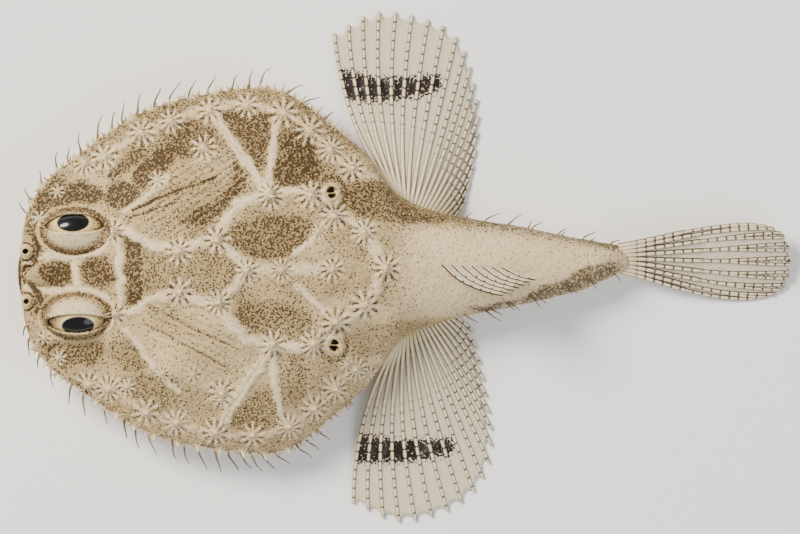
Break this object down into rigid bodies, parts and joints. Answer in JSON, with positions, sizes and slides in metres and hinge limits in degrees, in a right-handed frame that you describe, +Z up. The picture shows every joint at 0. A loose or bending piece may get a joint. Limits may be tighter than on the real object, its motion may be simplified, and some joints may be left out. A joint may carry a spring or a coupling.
{
  "type": "pancake batfish",
  "caption": "Life-size still model of a flat, bottom-living fish with a round disc body, limb-like pectoral fins, star-shaped spines and a short tail, resting on the floor on its fins.",
  "frame": {"origin": "centre of the overall bounds in plan, at the floor", "axes": "+X from the snout towards the tail fin, +Z up from the floor, +Y towards the fish's right side"},
  "size_m": [0.1001, 0.0663, 0.0144],
  "materials": {
    "skin": "damp, mottled sand and olive brown skin",
    "fin": "pale rays with thin membranes and dark bars",
    "eye": "wet and clear, dark pupil",
    "lure": "pale, soft flesh"
  },
  "bodies": {
    "root": {"head": "skin", "disc": "skin", "tail": "skin", "eye_left": "eye", "eye_right": "eye", "lure": "lure", "pectoral_fin_left": "fin", "pectoral_fin_right": "fin", "pelvic_fin_left": "fin", "pelvic_fin_right": "fin", "dorsal_fin": "fin", "anal_fin": "fin", "caudal_fin": "fin"}
  },
  "joints": []
}
